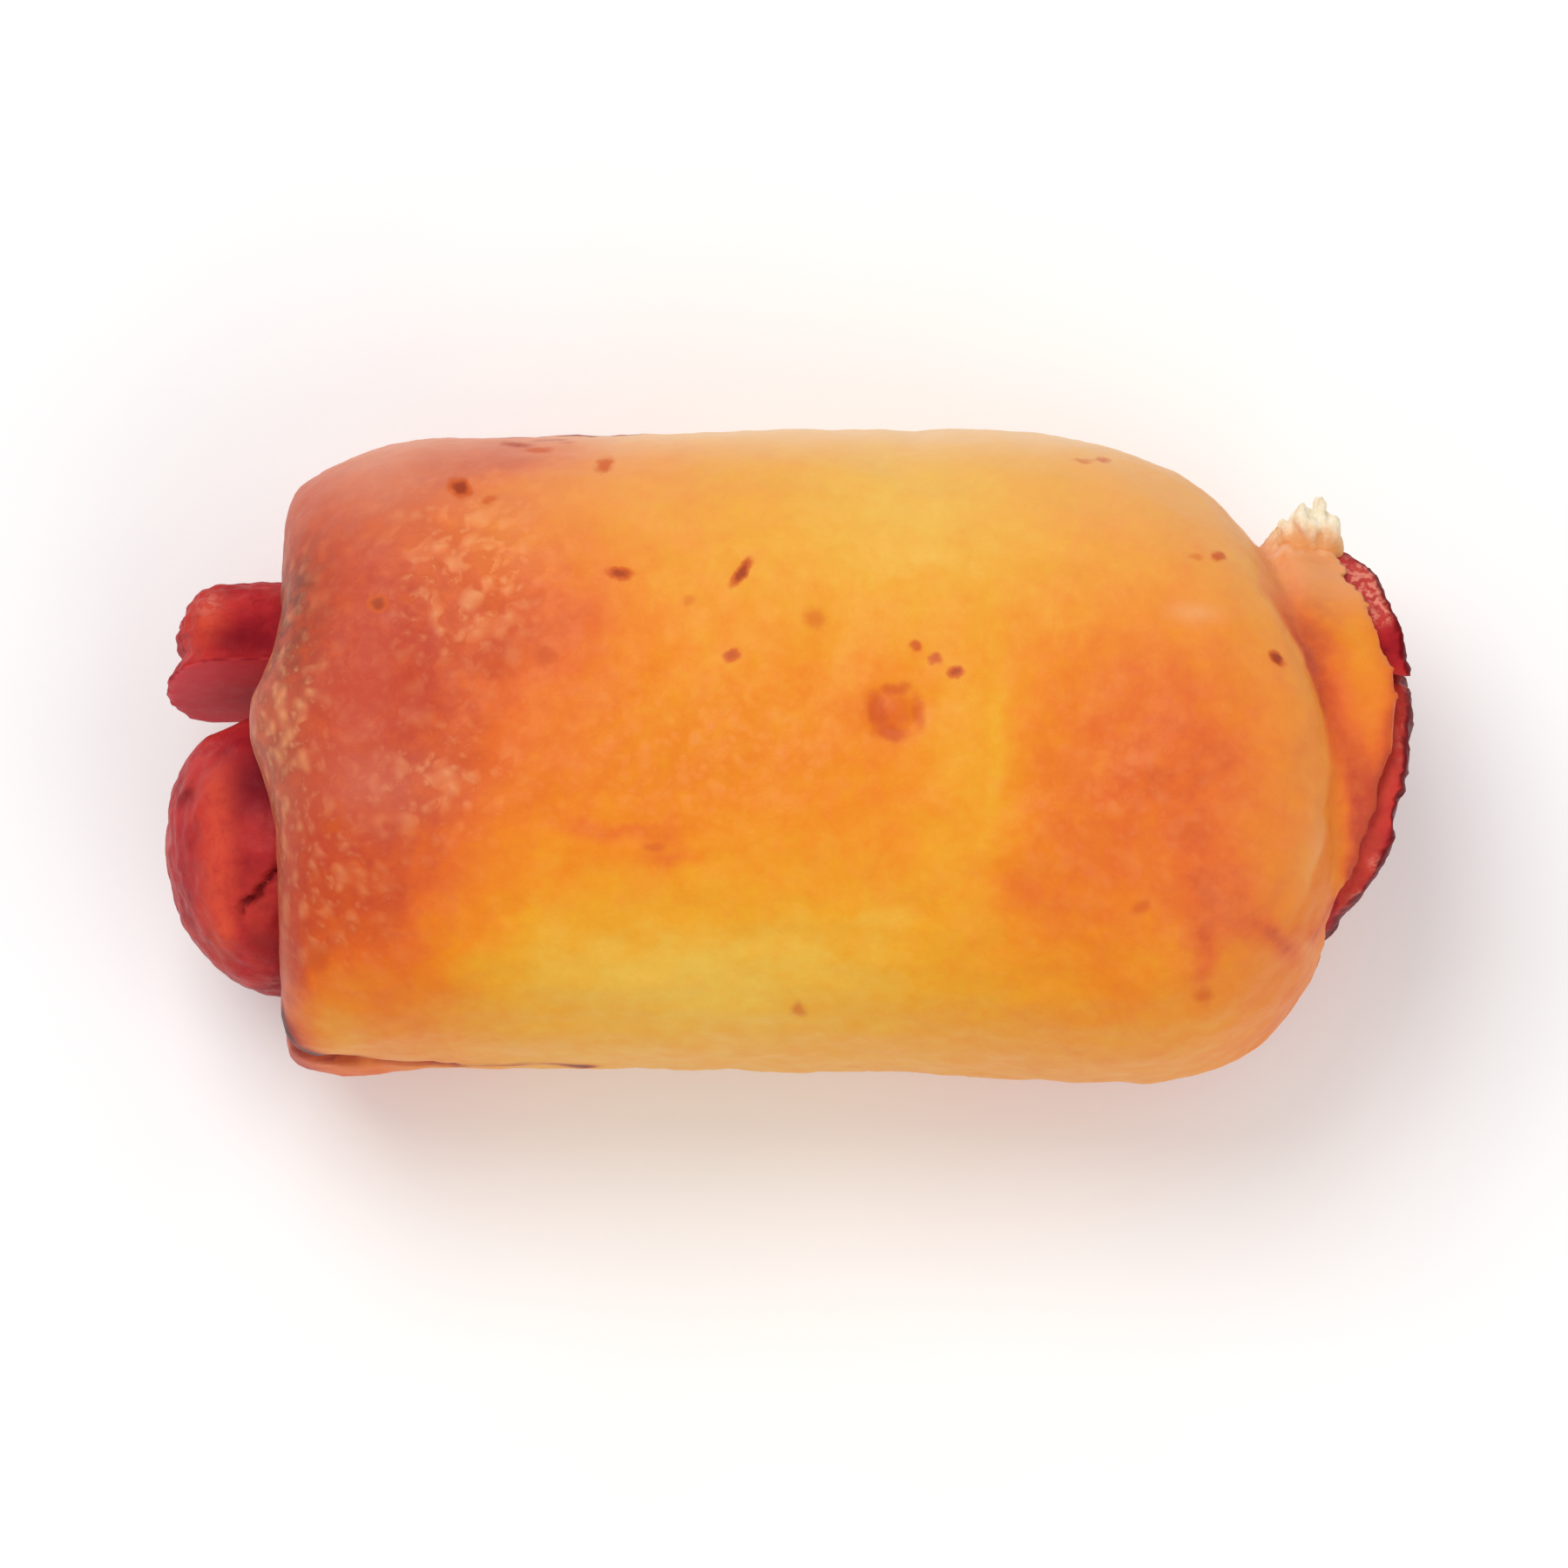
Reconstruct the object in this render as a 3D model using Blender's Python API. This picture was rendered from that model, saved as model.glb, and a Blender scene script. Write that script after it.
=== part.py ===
"""A baked hot dog: a glazed roll of dough round one whole sausage and one split sausage.

Metres. +X runs along the roll, +Y across it, +Z up, and the roll rests on z = 0.
Every piece starts as a ball whose halves are drawn apart along X, and is then shaped by a function.
"""

import math

import bmesh
import bpy
from mathutils import Matrix, Vector

MM = 0.001

# The roll of dough, a little narrower at its left end
ROLL_LEFT = -45.9 * MM
ROLL_RIGHT = 51.0 * MM
ROLL_BACK = 30.0 * MM
ROLL_FRONT = -30.0 * MM
ROLL_TOP = 44.0 * MM
ROLL_LEFT_SHARE = 0.96
ROLL_WIDEST = 20.0 * MM
ROLL_MIDDLE = 21.5 * MM
ROLL_BELLY = 24.0 * MM
ROLL_SQUARENESS = 2.5
ROLL_SIDES = 48
ROLL_RINGS = 19

# Its ends: how far along X each one rounds off, at the front (-Y) and at the back (+Y)
LEFT_ROUND_FRONT = 6.0 * MM
LEFT_ROUND_BACK = 14.0 * MM
LEFT_SQUARENESS = 7.0
LEFT_BULGE = 2.8 * MM
LEFT_BULGE_AT = 1.5 * MM
LEFT_BULGE_WIDTH = 10.0 * MM
RIGHT_ROUND_FRONT = 17.6 * MM
RIGHT_ROUND_BACK = 30.5 * MM
RIGHT_TIP_Y = -7.3 * MM
RIGHT_LIP_HEIGHT = 0.35

# The lap of the dough, a groove low on the front at the left end
LAP_DEPTH = 1.2 * MM
LAP_ANGLE = math.radians(-145.0)
LAP_WIDTH = math.radians(5.0)
LAP_END = -18.0 * MM
LAP_FADE = 14.0 * MM

# The inner turn of the dough, which comes out past the lip at the right end
TURN_START = 22.0 * MM
TURN_END = 47.9 * MM
TURN_CROWN = 4.6 * MM
TURN_SLANT = 0.9 * MM
TURN_FRONT = -18.5 * MM
TURN_BACK = 16.9 * MM
TURN_FLAP_BACK = 23.6 * MM
TURN_FLAP_FROM = 43.2 * MM
TURN_FLAP_TO = 46.8 * MM
TURN_HALF_HEIGHT = 15.4 * MM
TURN_SQUARENESS = 2.3
TURN_SIDES = 40
TURN_RINGS = 11

# The sausages
SAUSAGE_HEIGHT = 21.0 * MM
SAUSAGE_SIDES = 32
SAUSAGE_RINGS = 13
SPLIT_LEAN = math.radians(16.0)
SWELL_LENGTH = 9.0 * MM
LARGE = {
    "radius": 12.4 * MM,
    "pinch": 0.9 * MM,
    "left": -47.9 * MM,
    "left_crown": 9.4 * MM,
    "left_slant": -0.8 * MM,
    "left_y": -9.5 * MM,
    "right": 52.5 * MM,
    "right_crown": 3.4 * MM,
    "right_slant": 3.6 * MM,
    "right_y": -4.6 * MM,
    "splay": 0.0,
}
SPLIT = {
    "radius": 10.0 * MM,
    "pinch": 1.7 * MM,
    "left": -53.4 * MM,
    "left_crown": 2.9 * MM,
    "left_slant": 1.2 * MM,
    "left_y": 6.1 * MM,
    "right": 53.7 * MM,
    "right_crown": 1.6 * MM,
    "right_slant": -1.9 * MM,
    "right_y": 10.0 * MM,
    "splay": 1.5 * MM,
}

# Clearance round each sausage in its tunnel, and how far a tunnel's cutter goes past the sausage
GAP = 0.3 * MM
CUTTER_REACH = 12.0 * MM

# Sections along the barrel of every piece
BARREL_STATIONS = 15


def clear_scene():
    for item in list(bpy.data.objects):
        bpy.data.objects.remove(item)


def new_collection(name):
    collection = bpy.data.collections.new(name)
    bpy.context.scene.collection.children.link(collection)
    return collection


def new_material(name, colour, roughness):
    material = bpy.data.materials.new(name)
    material.use_nodes = True
    shader = material.node_tree.nodes["Principled BSDF"]
    shader.inputs["Base Color"].default_value = (*colour, 1.0)
    shader.inputs["Roughness"].default_value = roughness
    shader.inputs["Metallic"].default_value = 0.0
    return material


def mix(a, b, share):
    return a + (b - a) * share


def smooth_step(low, high, value):
    share = min(max((value - low) / (high - low), 0.0), 1.0)
    return share * share * (3.0 - 2.0 * share)


def stretched_ball(sides, rings):
    """A ball of radius 1 with its poles on X, whose halves are moved apart by 1 each way."""
    bm = bmesh.new()
    bmesh.ops.create_uvsphere(
        bm, u_segments=sides, v_segments=rings, radius=1.0, matrix=Matrix.Rotation(math.pi / 2, 4, "Y")
    )
    for vertex in bm.verts:
        vertex.co.x += math.copysign(1.0, vertex.co.x)
    return bm


def divide_barrel(bm):
    """Cuts a ball's barrel, from x = -1 to x = 1, into lengths that shorten towards its ends."""
    for station in range(BARREL_STATIONS):
        cut = -math.cos(math.pi * station / (BARREL_STATIONS - 1))
        bmesh.ops.bisect_plane(
            bm,
            geom=bm.verts[:] + bm.edges[:] + bm.faces[:],
            plane_co=Vector((cut, 0.0, 0.0)),
            plane_no=Vector((1.0, 0.0, 0.0)),
        )


def end_share(x):
    """How far out on a ball's end a point is: 0 on the barrel, 1 at the pole."""
    return max(abs(x) - 1.0, 0.0)


def squarish(angle, squareness):
    """The point at that angle on an outline between a circle (2) and a square."""
    power = 2.0 / squareness
    across = math.copysign(abs(math.cos(angle)) ** power, math.cos(angle))
    up = math.copysign(abs(math.sin(angle)) ** power, math.sin(angle))
    return across, up


def roll_section(angle):
    """The roll's outline across its middle, flat where it rests."""
    across, up = squarish(angle, ROLL_SQUARENESS)
    middle = (ROLL_BACK + ROLL_FRONT) / 2
    y = middle + across * (ROLL_BACK - ROLL_FRONT) / 2
    z = ROLL_MIDDLE + up * (ROLL_TOP - ROLL_MIDDLE if up > 0 else ROLL_BELLY)
    return y, max(z, 0.0)


def roll_point(point):
    """Shapes the roll: a blunt left end with a bulge between the sausages, and a long round right end."""
    angle = math.atan2(point.z, point.y)
    rise = end_share(point.x)
    fall = math.sqrt(max(1.0 - rise * rise, 0.0))
    back = (1.0 + math.cos(angle)) / 2
    y, z = roll_section(angle)
    left_start = ROLL_LEFT + mix(LEFT_ROUND_FRONT, LEFT_ROUND_BACK, back)
    right_start = ROLL_RIGHT - mix(RIGHT_ROUND_FRONT, RIGHT_ROUND_BACK, back)
    if point.x < -1.0:
        power = 2.0 / LEFT_SQUARENESS
        x = mix(left_start, ROLL_LEFT, rise**power)
        y *= fall**power
        z = mix(ROLL_MIDDLE, z, fall**power)
        x -= LEFT_BULGE * rise**power * math.exp(-(((y - LEFT_BULGE_AT) / LEFT_BULGE_WIDTH) ** 2))
    elif point.x > 1.0:
        x = mix(right_start, ROLL_RIGHT, rise)
        y = mix(RIGHT_TIP_Y, y, fall)
        z = mix(ROLL_MIDDLE, z, fall**RIGHT_LIP_HEIGHT)
    else:
        x = mix(left_start, right_start, (point.x + 1.0) / 2)
    y *= mix(ROLL_LEFT_SHARE, 1.0, smooth_step(ROLL_LEFT, ROLL_WIDEST, x))
    groove = LAP_DEPTH * math.exp(-(((angle - LAP_ANGLE) / LAP_WIDTH) ** 2))
    groove *= 1.0 - smooth_step(LAP_END, LAP_END + LAP_FADE, x)
    return Vector((x, y + groove, z))


def turn_point(point):
    """Shapes the inner turn: a squarish sleeve whose back edge flares into a torn flap."""
    angle = math.atan2(point.z, point.y)
    rise = end_share(point.x)
    fall = math.sqrt(max(1.0 - rise * rise, 0.0))
    across, up = squarish(angle, TURN_SQUARENESS)
    across *= fall
    along = min(max((point.x + 1.0) / 2, 0.0), 1.0)
    x = mix(TURN_START, TURN_END, along) + math.copysign(TURN_CROWN * rise, point.x)
    x += TURN_SLANT * across * along
    flare = smooth_step(TURN_FLAP_FROM, TURN_FLAP_TO, x)
    back = mix(TURN_BACK, TURN_FLAP_BACK, flare * max(across, 0.0))
    y = (back + TURN_FRONT) / 2 + across * (back - TURN_FRONT) / 2
    z = SAUSAGE_HEIGHT + up * fall**RIGHT_LIP_HEIGHT * TURN_HALF_HEIGHT
    return Vector((x, y, z))


def sausage_point(point, spec, grow, reach):
    """Shapes a sausage, which is thinner where the dough grips it and swells towards its free ends."""
    rise = end_share(point.x)
    along = min(max((point.x + 1.0) / 2, 0.0), 1.0)
    x = mix(spec["left"], spec["right"], along)
    gripped = smooth_step(0.0, SWELL_LENGTH, x - ROLL_LEFT)
    gripped *= 1.0 - smooth_step(0.0, SWELL_LENGTH, x - (ROLL_RIGHT - SWELL_LENGTH))
    radius = spec["radius"] - spec["pinch"] * gripped + grow
    middle_y = mix(spec["left_y"], spec["right_y"], (x - spec["left"]) / (spec["right"] - spec["left"]))
    middle_y -= spec["splay"] * gripped * smooth_step(0.0, spec["right"], x)
    if point.x < 0.0:
        crown = -spec["left_crown"] * rise - (reach if rise > 0.0 else 0.0)
        slant = spec["left_slant"] * point.y * smooth_step(-0.8, -1.0, point.x)
    else:
        crown = spec["right_crown"] * rise + (reach if rise > 0.0 else 0.0)
        slant = spec["right_slant"] * point.y * smooth_step(0.8, 1.0, point.x)
    y = middle_y + radius * point.y
    z = SAUSAGE_HEIGHT + radius * point.z
    return Vector((x + crown + slant, y, z))


def split_lengthwise(bm, offset):
    """Cuts away the front half along a plane that leans back, and closes the cut."""
    normal = Vector((0.0, -math.cos(SPLIT_LEAN), math.sin(SPLIT_LEAN)))
    bmesh.ops.bisect_plane(
        bm,
        geom=bm.verts[:] + bm.edges[:] + bm.faces[:],
        plane_co=normal * offset,
        plane_no=normal,
        clear_outer=True,
    )
    rim = [edge for edge in bm.edges if edge.is_boundary]
    bmesh.ops.edgeloop_fill(bm, edges=rim)


def add_piece(name, bm, collection, material):
    bmesh.ops.triangulate(bm, faces=bm.faces[:])
    bmesh.ops.recalc_face_normals(bm, faces=bm.faces[:])
    mesh = bpy.data.meshes.new(name)
    bm.to_mesh(mesh)
    bm.free()
    mesh.shade_smooth()
    mesh.set_sharp_from_angle(angle=math.radians(40.0))
    if material is not None:
        mesh.materials.append(material)
    piece = bpy.data.objects.new(name, mesh)
    collection.objects.link(piece)
    return piece


def add_shaped(name, collection, material, sides, rings, shape):
    bm = stretched_ball(sides, rings)
    divide_barrel(bm)
    for vertex in bm.verts:
        vertex.co = shape(vertex.co)
    return add_piece(name, bm, collection, material)


def add_sausage(name, collection, material, spec, split, grow=0.0, reach=0.0):
    bm = stretched_ball(SAUSAGE_SIDES, SAUSAGE_RINGS)
    if split:
        split_lengthwise(bm, grow / spec["radius"])
    divide_barrel(bm)
    for vertex in bm.verts:
        vertex.co = sausage_point(vertex.co, spec, grow, reach)
    return add_piece(name, bm, collection, material)


def as_cutter(piece):
    piece.hide_render = True
    piece.display_type = "WIRE"
    return piece


def combine(piece, other, operation):
    boolean = piece.modifiers.new(f"{operation.lower()} {other.name}", "BOOLEAN")
    boolean.operation = operation
    boolean.solver = "EXACT"
    boolean.object = other


def build():
    clear_scene()
    parts = new_collection("hot_dog")
    helpers = new_collection("hot_dog_cutters")
    crust = new_material("baked_crust", (0.80, 0.33, 0.06), 0.42)
    skin = new_material("sausage_skin", (0.48, 0.05, 0.05), 0.36)
    meat = new_material("split_sausage_meat", (0.55, 0.08, 0.07), 0.48)

    bun = add_shaped("bun", parts, crust, ROLL_SIDES, ROLL_RINGS, roll_point)
    turn = add_shaped("inner_turn", helpers, None, TURN_SIDES, TURN_RINGS, turn_point)
    add_sausage("sausage_large", parts, skin, LARGE, False)
    add_sausage("sausage_small", parts, meat, SPLIT, True)
    large_tunnel = add_sausage("large_tunnel", helpers, None, LARGE, False, GAP, CUTTER_REACH)
    small_tunnel = add_sausage("small_tunnel", helpers, None, SPLIT, True, GAP, CUTTER_REACH)

    combine(bun, as_cutter(turn), "UNION")
    combine(bun, as_cutter(large_tunnel), "DIFFERENCE")
    combine(bun, as_cutter(small_tunnel), "DIFFERENCE")


build()
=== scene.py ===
"""A baked hot dog: a glazed roll of dough round one whole sausage and one split sausage."""

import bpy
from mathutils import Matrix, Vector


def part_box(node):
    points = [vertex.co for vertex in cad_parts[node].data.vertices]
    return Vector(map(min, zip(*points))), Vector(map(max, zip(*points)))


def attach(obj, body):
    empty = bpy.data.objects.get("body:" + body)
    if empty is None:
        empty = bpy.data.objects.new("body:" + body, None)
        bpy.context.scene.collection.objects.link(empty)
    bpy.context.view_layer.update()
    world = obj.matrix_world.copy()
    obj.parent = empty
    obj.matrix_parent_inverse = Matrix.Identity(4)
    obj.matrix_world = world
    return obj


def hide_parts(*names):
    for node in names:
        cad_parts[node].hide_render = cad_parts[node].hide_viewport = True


bl_info = {
    "name": "Baked Hot Dog",
    "version": (1, 0, 0),
    "blender": (4, 5, 0),
    "location": "View3D > Sidebar > Hot Dog",
    "description": "Models a baked hot dog: a glazed roll, its sausages and a plain stage",
    "category": "Add Mesh",
}

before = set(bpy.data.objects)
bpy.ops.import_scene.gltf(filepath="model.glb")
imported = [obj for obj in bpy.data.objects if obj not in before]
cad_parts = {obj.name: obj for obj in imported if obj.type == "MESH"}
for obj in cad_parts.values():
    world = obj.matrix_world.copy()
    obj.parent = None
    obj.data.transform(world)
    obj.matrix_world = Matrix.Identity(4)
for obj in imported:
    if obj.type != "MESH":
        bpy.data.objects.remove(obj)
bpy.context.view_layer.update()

import math

import bpy
import numpy as np
from mathutils import Vector, noise

MM = 0.001


# ---- shared modelling steps


def mix(a, b, share):
    """Runs straight from a to b as the share goes from 0 to 1."""
    return a + (b - a) * share


def ease(low, high, value):
    """0 up to low and 1 from high on, with a soft rise between."""
    share = np.clip((value - low) / (high - low), 0.0, 1.0)
    return share * share * (3.0 - 2.0 * share)


def hump(distance, reach):
    """1 in the middle, falling softly to 0 past the reach."""
    return np.exp(-((distance / reach) ** 2))


def most(*layers):
    """The strongest of several painted layers at every place."""
    return np.max(layers, axis=0)


def oval(x, y, at_x, at_y, half_length, half_width):
    """1 in the middle of an oval seen from above, falling softly to 0 past its edge."""
    return hump(x - at_x, half_length) * hump(y - at_y, half_width)


def only(piece):
    """Makes a piece the one selected and active object."""
    if bpy.context.mode != "OBJECT":
        done()
    bpy.ops.object.select_all(action="DESELECT")
    piece.select_set(True)
    bpy.context.view_layer.objects.active = piece


def edit(piece):
    """Opens a piece in edit mode with all its vertices selected."""
    only(piece)
    bpy.ops.object.mode_set(mode="EDIT")
    bpy.ops.mesh.select_mode(type="VERT")
    bpy.ops.mesh.select_all(action="SELECT")


def done():
    """Leaves edit mode."""
    bpy.ops.object.mode_set(mode="OBJECT")


def apply_modifier(piece, name, kind, **settings):
    """Adds a modifier with these settings to a piece and applies it at once."""
    only(piece)
    modifier = piece.modifiers.new(name, kind)
    for setting, value in settings.items():
        setattr(modifier, setting, value)
    bpy.ops.object.modifier_apply(modifier=modifier.name)


def draw_out(name, sections, corner=0.95, squareness=0.56, corner_cuts=12):
    """Extrudes a rounded outline along X through sections of (x, front, back, bottom, top)."""
    x, front, back, bottom, top = sections[0]
    middle = Vector((x, (front + back) / 2, (bottom + top) / 2))
    bpy.ops.object.select_all(action="DESELECT")
    bpy.ops.mesh.primitive_plane_add(size=2.0, rotation=(0.0, math.pi / 2, 0.0), location=middle)
    piece = bpy.context.active_object
    piece.name = name
    piece.data.name = name
    edit(piece)
    bpy.ops.mesh.bevel(offset=corner, segments=corner_cuts, profile=squareness, affect="VERTICES")
    bpy.ops.mesh.select_all(action="SELECT")
    bpy.ops.mesh.delete(type="ONLY_FACE")
    only(piece)
    bpy.ops.object.transform_apply()
    edit(piece)
    bpy.ops.transform.resize(
        value=(1.0, (back - front) / 2, (top - bottom) / 2), center_override=middle
    )
    before = sections[0]
    for section in sections[1:]:
        x, front, back, bottom, top = section
        centre = Vector((x, (front + back) / 2, (bottom + top) / 2))
        bpy.ops.mesh.extrude_region_move(TRANSFORM_OT_translate={"value": centre - middle})
        wider = (back - front) / (before[2] - before[1])
        taller = (top - bottom) / (before[4] - before[3])
        bpy.ops.transform.resize(value=(1.0, wider, taller), center_override=centre)
        before, middle = section, centre
    bpy.ops.mesh.edge_face_add()
    bpy.ops.mesh.select_all(action="DESELECT")
    done()
    for vertex in piece.data.vertices:
        vertex.select = abs(vertex.co.x - sections[0][0]) < 0.01 * MM
    bpy.ops.object.mode_set(mode="EDIT")
    bpy.ops.mesh.edge_face_add()
    bpy.ops.mesh.select_all(action="SELECT")
    bpy.ops.mesh.normals_make_consistent(inside=False)
    done()
    return piece


def join_solids(piece, other, operation):
    """Joins another solid to a piece, or cuts it away, and then removes the other."""
    name = operation.lower()
    apply_modifier(piece, name, "BOOLEAN", operation=operation, solver="EXACT", object=other)
    bpy.data.objects.remove(other)


def knead(piece, grain, smoothing):
    """Gives a piece an even skin of small faces and takes the steps out of it."""
    apply_modifier(piece, "grain", "REMESH", mode="VOXEL", voxel_size=grain)
    apply_modifier(piece, "smoothing", "SMOOTH", factor=0.5, iterations=smoothing)


def places(piece, value="co"):
    """The places of a piece's vertices, or another value of theirs, one row each."""
    rows = np.empty(len(piece.data.vertices) * 3)
    piece.data.vertices.foreach_get(value, rows)
    return rows.reshape(-1, 3)


def directions(piece):
    return places(piece, "normal")


def place_all(piece, co):
    """Moves a piece's vertices to these places."""
    piece.data.vertices.foreach_set("co", co.ravel())
    piece.data.update()


def push_out(piece, amount):
    """Moves every vertex along its normal by its own amount in millimetres."""
    place_all(piece, places(piece) + directions(piece) * (amount * MM)[:, None])


def cloud(co, size, seed, detail=3):
    """Soft noise of about -1 to 1 at every place, with features of a size in millimetres."""
    shift = Vector((seed * 3.7, seed * 1.3, seed * 2.1))
    size *= MM
    return np.array([noise.fractal(Vector(p) / size + shift, 0.6, 2.0, detail) for p in co])


def paint(piece, layer, amount):
    """Stores a number at every vertex for the finish to read."""
    attribute = piece.data.attributes.new(layer, "FLOAT", "POINT")
    attribute.data.foreach_set("value", np.clip(amount, 0.0, 1.0).astype(np.float32))


def finish_piece(piece, material, slot, *nodes):
    """Gives a piece its finish and its place in the frame, in the stead of these nodes."""
    only(piece)
    bpy.ops.object.shade_smooth()
    piece.data.materials.clear()
    piece.data.materials.append(material)
    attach(piece, "root")
    if nodes:
        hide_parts(*nodes)


# ---- building a finish


class Finish:
    """A procedural material on Object coordinates, with every size in millimetres."""

    def __init__(self, name):
        self.material = bpy.data.materials.new(name)
        self.material.use_nodes = True
        self.tree = self.material.node_tree
        self.shader = self.tree.nodes["Principled BSDF"]
        self.place = self.add("ShaderNodeTexCoord").outputs["Object"]

    def add(self, kind, links=None, **settings):
        node = self.tree.nodes.new(kind)
        for setting, value in settings.items():
            setattr(node, setting, value)
        for socket, value in (links or {}).items():
            self.set(node.inputs[socket], value)
        return node

    def set(self, socket, value):
        if isinstance(value, bpy.types.NodeSocket):
            self.tree.links.new(value, socket)
        else:
            socket.default_value = value

    def math(self, operation, a, b, c=0.0):
        return self.add("ShaderNodeMath", {0: a, 1: b, 2: c}, operation=operation).outputs[0]

    def times(self, a, b):
        return self.math("MULTIPLY", a, b)

    def finished(self, links):
        """Fills the shader's own sockets and hands the material over."""
        for socket, value in links.items():
            self.set(self.shader.inputs[socket], value)
        return self.material

    def vector(self, operation, links):
        return self.add("ShaderNodeVectorMath", links, operation=operation).outputs[0]

    def blend(self, share, a, b):
        links = {"Factor": share, 6: a, 7: b}
        return self.add("ShaderNodeMix", links, data_type="RGBA").outputs[2]

    def tint(self, base, share, colour):
        """Lays a plain colour over the base, as thick as the share says."""
        return self.blend(share, base, (*colour, 1.0))

    def ramp(self, value, stops):
        """A colour that runs through the stops as the value grows."""
        node = self.add("ShaderNodeValToRGB", {"Fac": value})
        while len(node.color_ramp.elements) < len(stops):
            node.color_ramp.elements.new(1.0)
        for element, (position, colour) in zip(node.color_ramp.elements, stops):
            element.position = position
            element.color = (*colour, 1.0)
        return node.outputs["Color"]

    def level(self, value, low, high, bottom=0.0, top=1.0):
        """Maps low..high to bottom..top, clamped."""
        links = {"Value": value, "From Min": low, "From Max": high, "To Min": bottom, "To Max": top}
        node = self.add("ShaderNodeMapRange", links, interpolation_type="SMOOTHSTEP")
        return node.outputs["Result"]

    def noise(self, size, detail=3.0, roughness=0.55, place=None, distortion=0.0):
        links = {"Vector": place or self.place, "Scale": 1.0 / (size * MM), "Detail": detail}
        links |= {"Roughness": roughness, "Distortion": distortion}
        return self.add("ShaderNodeTexNoise", links).outputs["Fac"]

    def unrolled(self, place):
        """Flattens a place so that the roll's top and its left face both lie in one plane."""
        links = {"Vector": place, "Rotation": (0.0, math.pi / 4, 0.0)}
        links["Scale"] = (math.sqrt(2.0), 1.0, math.sqrt(2.0))
        return self.add("ShaderNodeMapping", links).outputs[0]

    def cells(self, size, place):
        """Distance from the middles of soft round cells in a plane."""
        links = {"Vector": place, "Scale": 1.0 / (size * MM)}
        settings = {"feature": "SMOOTH_F1", "voronoi_dimensions": "2D"}
        return self.add("ShaderNodeTexVoronoi", links, **settings).outputs["Distance"]

    def layer(self, name):
        """What paint stored under this name."""
        return self.add("ShaderNodeAttribute", attribute_name=name).outputs["Fac"]

    def wander(self, size, amount):
        """Object coordinates pushed about by noise, so that edges drawn on them look torn."""
        links = {"Vector": self.place, "Scale": 1.0 / (size * MM)}
        colour = self.add("ShaderNodeTexNoise", links).outputs["Color"]
        centred = self.vector("SUBTRACT", {0: colour, 1: (0.5, 0.5, 0.5)})
        scaled = self.vector("SCALE", {0: centred, "Scale": amount * MM})
        return self.vector("ADD", {0: self.place, 1: scaled})

    def spot(self, place, x, y, length, width, depth, turn=0.0):
        """The depth in a small oval patch seen from above, fading to 0 outside it."""
        links = {"Vector": place, "Location": (x * MM, y * MM, 0.0)}
        links["Rotation"] = (0.0, 0.0, math.radians(turn))
        links["Scale"] = (length * MM, width * MM, 1.0)
        node = self.add("ShaderNodeMapping", links, vector_type="TEXTURE")
        reach = self.add("ShaderNodeVectorMath", {0: node.outputs[0]}, operation="LENGTH")
        return self.level(reach.outputs["Value"], 0.2, 1.2, depth, 0.0)

    def bump(self, height, depth, distance, under=None):
        """Relief in the light, laid over the relief under it."""
        links = {"Height": height, "Strength": depth, "Distance": distance * MM}
        if under is not None:
            links["Normal"] = under
        return self.add("ShaderNodeBump", links).outputs["Normal"]


def srgb(red, green, blue):
    """The linear colour of an 8-bit screen colour."""
    shares = (channel / 255 for channel in (red, green, blue))
    return tuple(c / 12.92 if c < 0.04045 else ((c + 0.055) / 1.055) ** 2.4 for c in shares)


# ---- sizes and colours


def length(name, description, default):
    """A size that a user can change."""
    return bpy.props.FloatProperty(
        name=name, description=description, default=default, unit="LENGTH"
    )


def colour(name, description, default):
    """A colour that a user can change, given as an 8-bit screen colour."""
    return bpy.props.FloatVectorProperty(
        name=name, description=description, default=srgb(*default), subtype="COLOR", min=0, max=1
    )


class HotDogRoll(bpy.types.PropertyGroup):
    """The roll of dough and its crust."""

    left: length("Left face", "Where the blunt left end stands", -46.5 * MM)
    right: length("Right lip", "Where the lip of the right end reaches", 50.9 * MM)
    height: length("Height", "Height of the roll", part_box("bun")[1].z)
    grain: length("Grain", "Size of the faces of the crust", 0.66 * MM)
    pale: colour("Pale crust", "Crust that has hardly browned", (238, 190, 72))
    golden: colour("Golden crust", "Lightly browned crust", (238, 164, 30))
    orange: colour("Orange crust", "Browned and glazed crust", (237, 134, 12))
    roasted: colour("Roasted crust", "Deeply browned crust", (228, 104, 26))
    scorched: colour("Scorched crust", "The darkest red-brown crust", (193, 64, 32))
    peach: colour("Peach crust", "Crust that steam kept soft", (244, 200, 150))
    rosy: colour("Rosy crust", "Soft crust beside a browned patch", (228, 150, 118))
    crumb: colour("Crumb", "Torn inside of the dough", (250, 235, 203))


class HotDogSausages(bpy.types.PropertyGroup):
    """The whole sausage and the split one."""

    whole_radius: length("Whole radius", "Radius of the whole sausage", 12.9 * MM)
    split_radius: length("Split radius", "Radius of the split sausage", 10.0 * MM)
    clearance: length("Clearance", "Room between a sausage and the dough", 0.35 * MM)
    grain: length("Grain", "Size of the faces of the sausages", 0.44 * MM)
    skin: colour("Skin", "Cooked skin", (182, 42, 46))
    # The colour of the painted highlight on the sausages.
    bright: colour("Bright skin", "Skin where it catches the heat", (224, 84, 56))
    dark: colour("Dark skin", "Skin in its wrinkles and at crisp edges", (104, 2, 14))
    meat: colour("Cut meat", "The flat face of the split sausage", (236, 84, 92))


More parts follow.
